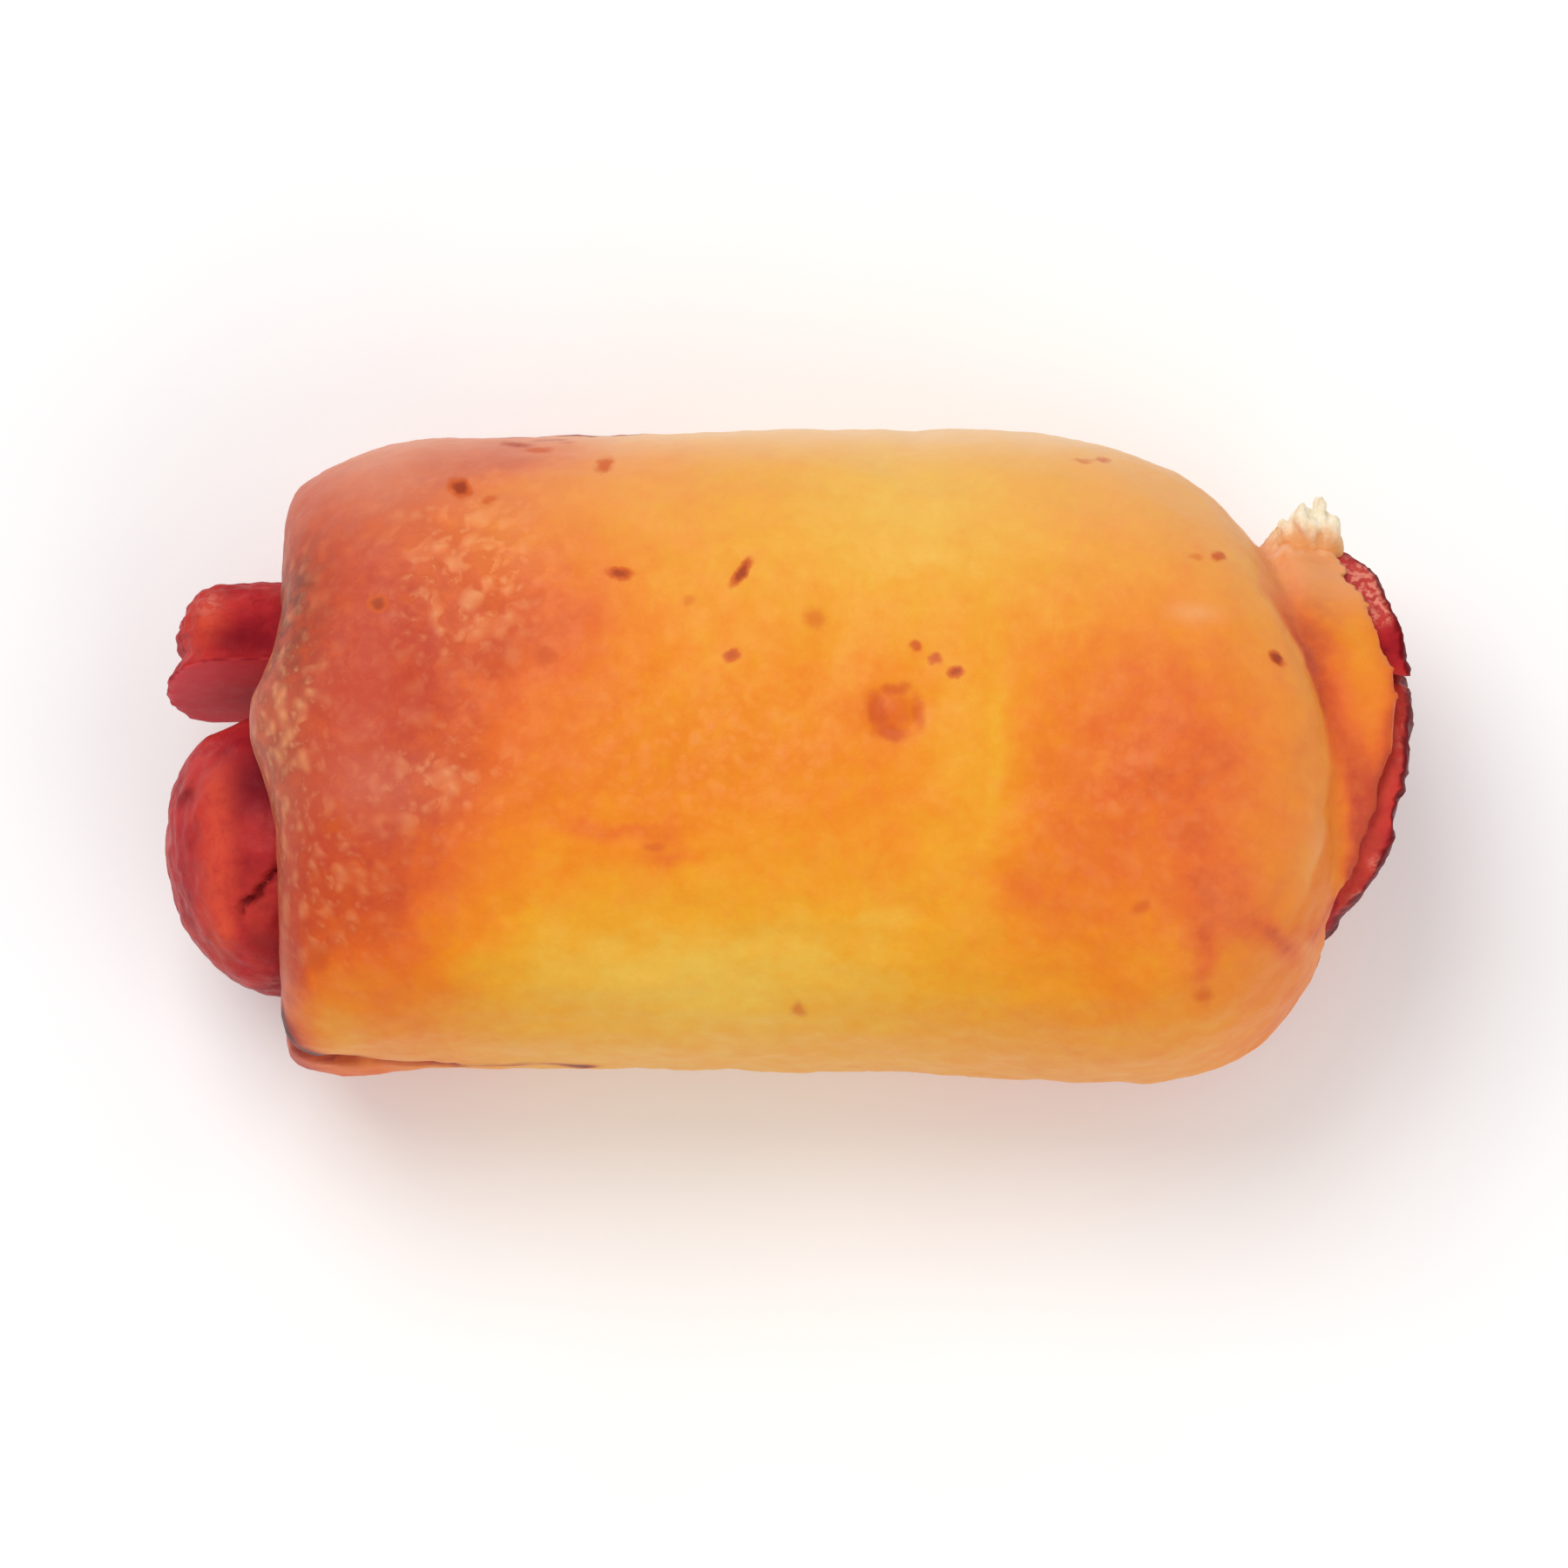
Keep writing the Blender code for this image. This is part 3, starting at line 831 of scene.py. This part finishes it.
def sausage_stations(left, right):
    """Places along a sausage, close together at both ends."""
    ends = [1.0 - math.cos(math.pi / 2 * step / 12) for step in range(13)]
    start = [left + 12.0 * MM * share for share in ends]
    barrel = [mix(left + 16.0 * MM, right - 16.0 * MM, step / 14) for step in range(15)]
    stop = [right - 12.0 * MM * share for share in reversed(ends)]
    return start + barrel + stop


def split_lengthwise(piece, extra=0.0):
    """Cuts the front half of a sausage away along a plane that leans back."""
    along_x = math.sin(HALF_SLANT) * math.cos(HALF_LEAN)
    along_y = -math.cos(HALF_SLANT) * math.cos(HALF_LEAN)
    normal = Vector((along_x, along_y, math.sin(HALF_LEAN)))
    middle = CUT_MIDDLE + normal * extra
    edit(piece)
    bpy.ops.mesh.bisect(plane_co=middle, plane_no=normal, clear_outer=True, use_fill=True)
    done()
    start_cut_face(piece)


def start_cut_face(piece):
    """Starts the cut face at one set corner, so that every run splits it into the same triangles."""
    face = max(piece.data.polygons, key=lambda face: face.loop_total)
    loops = [piece.data.loops[index] for index in face.loop_indices]
    ends = [(loop.vertex_index, loop.edge_index) for loop in loops]
    far = [(piece.data.vertices[vertex].co - CUT_CORNER).length for vertex, _ in ends]
    first = far.index(min(far))
    for loop, (vertex, edge) in zip(loops, ends[first:] + ends[:first]):
        loop.vertex_index, loop.edge_index = vertex, edge
    piece.data.update()


def slant_end(piece, start, end, middle_y, slant):
    """Pushes one side of an end out along X and draws the other side in."""
    co = places(piece)
    share = ease(start * MM, end * MM, co[:, 0])
    co[:, 0] += share * slant * (co[:, 1] - middle_y * MM)
    place_all(piece, co)


def tunnel(name, section, sausages):
    """The room that a sausage needs, from past one end of the roll to past the other."""
    stations = [mix(-TUNNEL_END, TUNNEL_END, step / 40) for step in range(41)]
    return draw_out(name, [section(sausages, x, sausages.clearance) for x in stations], 0.98, 0.5)


def cut_tunnels(dough, sausages):
    """Cuts the room for both sausages right through the dough."""
    whole = tunnel("whole_tunnel", whole_section, sausages)
    join_solids(dough, whole, "DIFFERENCE")
    split = tunnel("split_tunnel", split_section, sausages)
    split_lengthwise(split, sausages.clearance)
    join_solids(dough, split, "DIFFERENCE")


def skin_finish(sausages, name, cut=False):
    """Cooked sausage skin: crimson, mottled, darker in its wrinkles, with a moist gloss, and with
    painted highlight, painted sheen and painted shade in its colour.
    """
    skin = Finish(name)
    mottle = skin.noise(4.0, 4.0, 0.6)
    fine = skin.noise(1.1, 4.0, 0.65, distortion=0.6)
    shades = [(0.3, srgb(150, 28, 38)), (0.52, sausages.skin), (0.74, srgb(204, 58, 52))]
    base = skin.ramp(mottle, shades)
    base = skin.tint(base, skin.level(fine, 0.56, 0.78, 0.0, 0.35), sausages.dark)
    if cut:
        meat = skin.tint((*sausages.meat, 1.0), skin.noise(7.0, 2.0), srgb(220, 72, 82))
        base = skin.blend(skin.layer("cut"), base, meat)
    # Painted highlight, broken up by fine noise.
    painted_highlight = skin.times(skin.layer("painted_highlight"), skin.level(fine, 0.3, 0.6, 0.6, 1.0))
    base = skin.tint(base, painted_highlight, sausages.bright)
    # Painted shade in the roll's mouths and on the undersides, and a darker end face.
    base = skin.tint(base, skin.layer("shade"), srgb(118, 16, 30))
    # Painted sheen: pale pink streaks that stand for the skin's gloss.
    streaks = skin.noise(0.7, 2.0, 0.5, skin.wander(1.4, 1.0))
    painted_sheen = skin.times(skin.layer("painted_sheen"), skin.level(streaks, 0.42, 0.6, 0.15, 1.0))
    base = skin.tint(base, painted_sheen, srgb(230, 136, 116))
    base = skin.tint(base, skin.layer("char"), sausages.dark)
    smooth_cut = skin.math("MULTIPLY_ADD", skin.layer("cut"), -0.22, 0.25) if cut else 0.25
    wrinkles = skin.bump(fine, smooth_cut, 0.3)
    return skin.finished({
        "Base Color": base,
        "Roughness": skin.level(fine, 0.3, 0.7, 0.34, 0.52),
        "Specular IOR Level": 0.03 if cut else 0.09,
        "Normal": skin.bump(mottle, smooth_cut, 0.8, wrinkles),
    })


def crinkle_rim(piece, outline, seed):
    """Wrinkles a sausage's crisp right rim in and out."""
    co = places(piece)
    inside = np.interp(co[:, 1] / MM, *zip(*outline)) - co[:, 0] / MM
    near = ease(3.0, 0.5, inside) * (co[:, 0] > 0.0)
    fine = cloud(co * (0.3, 1.0, 1.0), 1.1, seed, 2) * 0.28
    coarse = cloud(co, 2.8, seed + 1, 2) * 0.22
    co[:, 0] += near * (fine + coarse) * MM
    place_all(piece, co)


def close_gap(piece):
    """Lets the split sausage's flat face swell toward the whole sausage at its right rim."""
    co = places(piece)
    x, y, z = co.T / MM
    swollen = ease(54.2, 56.2, x) * ease(15.0, 10.6, y) * ease(8.0, 16.0, z)
    co[:, 1] -= swollen * (1.35 + 0.052 * np.clip(z - MIDDLE_Z, 0.0, 9.0) ** 2) * MM
    place_all(piece, co)


def upper_skin(piece):
    """1 on a sausage's upper side, 0 on its end face and below."""
    normals = directions(piece)
    return ease(0.75, 0.45, normals[:, 0]) * ease(0.0, 0.3, normals[:, 2])


def crisp_rim(piece, inner, middle_y):
    """1 on the dark edge round a sausage's right end."""
    x, y, z = places(piece).T / MM
    turned = directions(piece)[:, 0]
    ring = ease(inner, inner + 1.4, np.hypot(y - middle_y, z - MIDDLE_Z))
    ragged = cloud(places(piece), 0.9, 15, 2) * 0.18
    return ease(0.3, 0.62, turned + ragged) * ring * (x > 46.0)


def shape_whole(sausages):
    """The whole sausage: round at the left, slanted at the right, with a crack in its skin."""
    stations = sausage_stations(WHOLE_LEFT, WHOLE_RIGHT)
    piece = draw_out("sausage_whole", [whole_section(sausages, x) for x in stations], 0.98, 0.5)
    end_on(piece, 40.0 * MM, WHOLE_RIGHT, WHOLE_END)
    undercut_end(piece, WHOLE_RIGHT_Y, sausages.whole_radius, 0.17)
    slant_end(piece, -46.0, -56.0, -9.2, -1.0 / 9.8)
    knead(piece, sausages.grain, 3)
    crinkle_rim(piece, WHOLE_END, 5)
    co = places(piece)
    push_out(piece, cloud(co, 5.0, 6) * 0.35)
    x, y, z = places(piece).T / MM
    crack = np.abs((y + 11.7) - (x + 45.2) * 0.88 + cloud(co, 1.5, 7) * 0.7)
    crack = hump(crack, 0.55) * ease(-50.8, -49.4, x) * ease(-43.6, -45.2, x)
    crack *= z > MIDDLE_Z
    push_out(piece, -crack * 0.9)
    paint_whole(piece, x, y, z, crack)
    return piece


def paint_whole(piece, x, y, z, crack):
    """Paints the whole sausage: a painted highlight on its left end and beside the inner turn,
    painted shade in the mouths and underneath, painted sheen specks, and dark at its rim.
    """
    band = ease(-20.0, -15.0, y) * ease(0.0, -5.0, y)
    beside_turn = ease(1.3, 0.2, x - np.interp(y, *zip(*TURN_END))) * (x > 50.0)
    # Painted highlight: a band on the left end, light near the roll's foot, and beside the inner
    # turn.
    painted_highlight = most(
        hump(x + 52.0, 1.9) * band * 0.75,
        oval(x, y, -51.6, -17.0, 1.4, 2.6) * 0.9,
        oval(x, y, -48.4, -16.0, 1.8, 4.0) * 0.3,
        beside_turn * upper_skin(piece) * 0.45,
    )
    # Painted shade where the sausage goes into the roll.
    mouth = oval(x, y, -47.0, -2.0, 2.8, 6.0) + oval(x, y, -46.0, -17.0, 2.6, 7.0) * 0.14
    mouth = most(mouth, oval(x, y, -48.6, -4.5, 2.6, 3.6) * 0.95) * ease(18.0, 26.0, z)
    end_face = ease(0.35, 0.7, directions(piece)[:, 0]) * (x > 46.0)
    # Painted shade on the undersides.
    underside = ease(0.15, -0.15, directions(piece)[:, 2])
    scab = oval(x, y, -55.1, -4.6, 0.8, 0.9) * (z > MIDDLE_Z)
    # Painted sheen: two specks and a patch on the right end.
    specks = hump(np.hypot(x - 53.4, y + 11.6), 0.5) + hump(np.hypot(x - 51.8, y + 14.3), 0.5)
    paint(piece, "painted_highlight", painted_highlight)
    paint(piece, "shade", most(mouth, end_face * 0.45, underside * 0.45))
    paint(piece, "painted_sheen", (specks + oval(x, y, 56.0, -0.5, 0.8, 2.4) * 0.35) * upper_skin(piece))
    paint(piece, "char", most(crack * 0.85, crisp_rim(piece, 9.6, -4.6) * 0.95, scab * 0.7))


def shape_split(sausages):
    """The split sausage: half round, folded at its left tip, with a flat face to the front."""
    stations = sausage_stations(HALF_LEFT, HALF_RIGHT)
    piece = draw_out("sausage_half", [split_section(sausages, x) for x in stations], 0.98, 0.5)
    split_lengthwise(piece)
    close_gap(piece)
    end_on(piece, 44.0 * MM, HALF_RIGHT, HALF_END)
    undercut_end(piece, HALF_RIGHT_Y, sausages.split_radius, 0.12)
    slant_end(piece, -47.0, -55.0, 9.7, 0.2 / 6.3)
    knead(piece, sausages.grain, 3)
    crinkle_rim(piece, HALF_END, 8)
    co = places(piece)
    x, y, z = co.T / MM
    tip = ease(-51.0, -55.0, x)
    co[:, 0] += tip * (hump(y - 8.8, 1.2) * 0.75 - hump(y - 5.8, 1.4) * 0.5) * MM
    place_all(piece, co)
    folds = np.sin((y + 0.35 * x) * 4.2 + cloud(co, 3.0, 10) * 2.0)
    folds *= ease(-48.0, -52.0, x) * 0.1
    folds *= ease(-0.7, -0.3, directions(piece)[:, 1])
    rough = mix(0.06, 0.3, ease(-0.8, -0.3, directions(piece)[:, 1]))
    push_out(piece, cloud(co, 4.0, 9) * rough + folds)
    paint_split(piece)
    return piece


def paint_split(piece):
    """Paints the split sausage: its cut face, painted shade along the fold and underneath, a painted
    highlight and painted sheen on top, and a dark rim at the right.
    """
    x, y, z = places(piece).T / MM
    flat = ease(0.3, 0.8, -directions(piece)[:, 1])
    # Painted shade along the fold at the edge of the cut face and where the sausage goes into the
    # roll.
    fold = 4.0 * flat * (1.0 - flat) * (z > 22.0) * ease(-46.0, -50.0, x)
    mouth = most(fold * 0.7, oval(x, y, -50.5, 9.4, 2.2, 1.4) * 0.7, hump(x + 46.5, 1.4) * 0.25)
    # Painted shade on the undersides.
    underside = ease(0.15, -0.15, directions(piece)[:, 2])
    # Painted sheen on the right end's top and on the left tip.
    right_sheen = ease(50.0, 51.5, x) * ease(10.0, 12.0, y) * ease(18.5, 16.5, y)
    tip_sheen = oval(x, y, -53.4, 13.4, 1.2, 1.3)
    # Painted highlight on the top bump of the left tip.
    paint(piece, "painted_highlight", oval(x, y, -53.4, 11.5, 1.8, 2.6) * 0.75)
    paint(piece, "shade", most(mouth * ease(20.0, 26.0, z), underside * 0.45))
    paint(piece, "painted_sheen", most(right_sheen * 0.95 * upper_skin(piece), tip_sheen * 0.5))
    paint(piece, "char", crisp_rim(piece, 6.8, 9.6) * 0.95)
    paint(piece, "cut", flat)


# The torn edge seen from above: x, how far back it reaches in millimetres, and how tall it is.
TEAR = (
    (44.8, 17.4, 0.0), (45.0, 19.0, 0.2), (45.2, 20.6, 0.5), (45.5, 21.2, 0.6), (45.9, 20.9, 0.6),
    (46.2, 21.2, 0.7), (46.7, 21.9, 0.9), (47.2, 22.5, 1.0), (47.7, 22.3, 0.9), (48.2, 21.8, 0.9),
    (48.6, 22.0, 0.8), (48.95, 23.5, 0.5), (49.15, 22.0, 0.8), (49.7, 21.6, 0.8), (50.2, 21.1, 0.7),
    (50.6, 20.4, 0.5), (50.9, 19.2, 0.2), (51.1, 17.6, 0.0),
)


def tear_crumb():
    """The torn edge of the inner turn: a rough wedge of crumb that rises to its shreds."""
    sections = [
        (x * MM, 12.5 * MM, back * MM, mix(22.0, 15.5, tall) * MM, mix(29.0, 31.6, tall) * MM)
        for x, back, tall in TEAR
    ]
    piece = draw_out("torn_crumb", sections, 0.55, 0.5)
    knead(piece, 0.26 * MM, 1)
    co = places(piece)
    loose = ease(17.0, 21.0, co[:, 1] / MM)
    co[:, 2] -= ease(20.8, 16.0, co[:, 1] / MM) * 4.4 * MM
    place_all(piece, co)
    shreds = cloud(co * (1.0, 0.35, 0.6), 0.75, 21, 2) * 0.42 + cloud(co, 1.8, 22, 2) * 0.25
    push_out(piece, shreds * loose + 0.1)
    x, y, z = places(piece).T / MM
    sides = most(ease(45.9, 44.9, x), ease(50.0, 50.9, x))
    low = ease(21.5, 17.5, z + shreds * 2.0)
    inner = ease(21.0, 17.8, y + shreds * 1.4)
    paint(piece, "root", most(inner, sides * ease(27.5, 25.5, z), low))
    return piece


def crumb_finish(roll):
    """Torn crumb: dry, cream coloured, golden at its root and almost white at its tips."""
    crumb = Finish("torn_crumb")
    pores = crumb.noise(0.5, 3.0, 0.65)
    shades = [(0.3, srgb(246, 226, 190)), (0.52, roll.crumb), (0.7, srgb(253, 247, 234))]
    root = crumb.times(crumb.layer("root"), 0.95)
    base = crumb.tint(crumb.ramp(pores, shades), root, srgb(234, 164, 88))
    return crumb.finished({
        "Base Color": base,
        "Roughness": crumb.level(pores, 0.3, 0.7, 0.75, 0.95),
        "Specular IOR Level": 0.2,
        "Normal": crumb.bump(pores, 0.5, 0.25),
    })


# ---- one step of making each


class HOTDOG_OT_roll(bpy.types.Operator):
    """Bakes the roll of dough, with its inner turn and its two tunnels"""

    bl_idname = "hotdog.roll"
    bl_label = "Roll"

    def execute(self, context):
        roll, sausages = context.scene.hotdog_roll, context.scene.hotdog_sausages
        dough = raise_dough(roll)
        cut_tunnels(dough, sausages)
        knead(dough, roll.grain, 5)
        soften_mouths(dough)
        relieve_crust(dough)
        brown_crust(dough)
        finish_piece(dough, crust_finish(roll), "baked_crust", "bun")
        finish_piece(tear_crumb(), crumb_finish(roll), "baked_crust")
        return {"FINISHED"}


class HOTDOG_OT_sausages(bpy.types.Operator):
    """Makes the whole sausage and the split one"""

    bl_idname = "hotdog.sausages"
    bl_label = "Sausages"

    def execute(self, context):
        sausages = context.scene.hotdog_sausages
        whole = shape_whole(sausages)
        finish_piece(whole, skin_finish(sausages, "sausage_skin"), "sausage_skin", "sausage_large")
        split = shape_split(sausages)
        finish = skin_finish(sausages, "split_sausage", cut=True)
        finish_piece(split, finish, "split_sausage", "sausage_small")
        return {"FINISHED"}


class HOTDOG_OT_stage(bpy.types.Operator):
    """Sets the floor, the soft lights and the camera"""

    bl_idname = "hotdog.stage"
    bl_label = "Stage"

    def execute(self, context):
        stage = context.scene.hotdog_stage
        add_floor(stage)
        add_lights(context.scene)
        add_camera(context.scene, stage)
        context.scene.view_settings.view_transform = "Standard"
        context.scene.view_settings.look = "None"
        return {"FINISHED"}


# The soft boxes: name, place, width in metres and power in watts.
SOFT_BOXES = (
    ("key_box", (-0.25, 0.3, 0.75), 0.55, 3.3),
    ("fill_box", (0.35, -0.45, 0.6), 0.6, 1.55),
)
DOME_STRENGTH = 0.53
FLOOR_GLOW = 0.07
SENSOR_WIDTH = 36.0


def add_floor(stage):
    """A plain pale floor, far wider than the picture."""
    bpy.ops.object.select_all(action="DESELECT")
    bpy.ops.mesh.primitive_grid_add(x_subdivisions=8, y_subdivisions=8, size=6.0)
    floor = bpy.context.active_object
    floor.name = "floor"
    cloth = Finish("floor_white")
    darker = [0.97 * channel for channel in stage.floor]
    floor.data.materials.append(cloth.finished({
        "Base Color": cloth.ramp(cloth.noise(40.0, 2.0), [(0.3, darker), (0.7, stage.floor)]),
        "Emission Color": (1.0, 1.0, 1.0, 1.0),
        "Emission Strength": FLOOR_GLOW,
        "Roughness": 0.9,
        "Specular IOR Level": 0.1,
    }))


def add_lights(scene):
    """A pale dome of light and two large soft boxes over the roll."""
    world = bpy.data.worlds.new("studio")
    world.use_nodes = True
    dome = world.node_tree.nodes["Background"]
    dome.inputs["Color"].default_value = (1.0, 1.0, 1.0, 1.0)
    dome.inputs["Strength"].default_value = DOME_STRENGTH
    scene.world = world
    for name, place, size, power in SOFT_BOXES:
        bpy.ops.object.light_add(type="AREA", location=place)
        light = bpy.context.active_object
        light.name = name
        light.data.shape = "DISK"
        light.data.size = size
        light.data.energy = power
        light.rotation_euler = (-Vector(place)).to_track_quat("-Z", "Y").to_euler()


def add_camera(scene, stage):
    """A long lens looking down at the roll."""
    target = Vector((stage.aim_x, stage.aim_y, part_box("bun")[1].z / 2))
    back = Vector((0.0, -math.cos(stage.elevation), math.sin(stage.elevation)))
    bpy.ops.object.camera_add(location=target + back * stage.distance)
    camera = bpy.context.active_object
    camera.rotation_euler = (-back).to_track_quat("-Z", "Y").to_euler()
    camera.data.sensor_width = SENSOR_WIDTH
    camera.data.lens = SENSOR_WIDTH * stage.distance / stage.frame_width
    camera.data.clip_start = 0.05
    camera.data.clip_end = 20.0
    scene.camera = camera


class HOTDOG_PT_panel(bpy.types.Panel):
    """Lists the sizes and colours of each part over the button that makes it"""

    bl_idname = "HOTDOG_PT_panel"
    bl_label = "Hot Dog"
    bl_space_type = "VIEW_3D"
    bl_region_type = "UI"
    bl_category = "Hot Dog"

    def draw(self, context):
        for part in GROUPS:
            box = self.layout.box()
            settings = getattr(context.scene, f"hotdog_{part}")
            for name in settings.__annotations__:
                box.prop(settings, name)
            box.operator(f"hotdog.{part}")


GROUPS = {"roll": HotDogRoll, "sausages": HotDogSausages, "stage": HotDogStage}
CLASSES = (*GROUPS.values(), HOTDOG_OT_roll, HOTDOG_OT_sausages, HOTDOG_OT_stage, HOTDOG_PT_panel)


def register():
    for item in CLASSES:
        bpy.utils.register_class(item)
    for part, group in GROUPS.items():
        setattr(bpy.types.Scene, f"hotdog_{part}", bpy.props.PointerProperty(type=group))


def unregister():
    for part in GROUPS:
        delattr(bpy.types.Scene, f"hotdog_{part}")
    for item in reversed(CLASSES):
        bpy.utils.unregister_class(item)


def main():
    register()
    bpy.ops.hotdog.roll()
    bpy.ops.hotdog.sausages()
    bpy.ops.hotdog.stage()


if __name__ == "__main__":
    main()
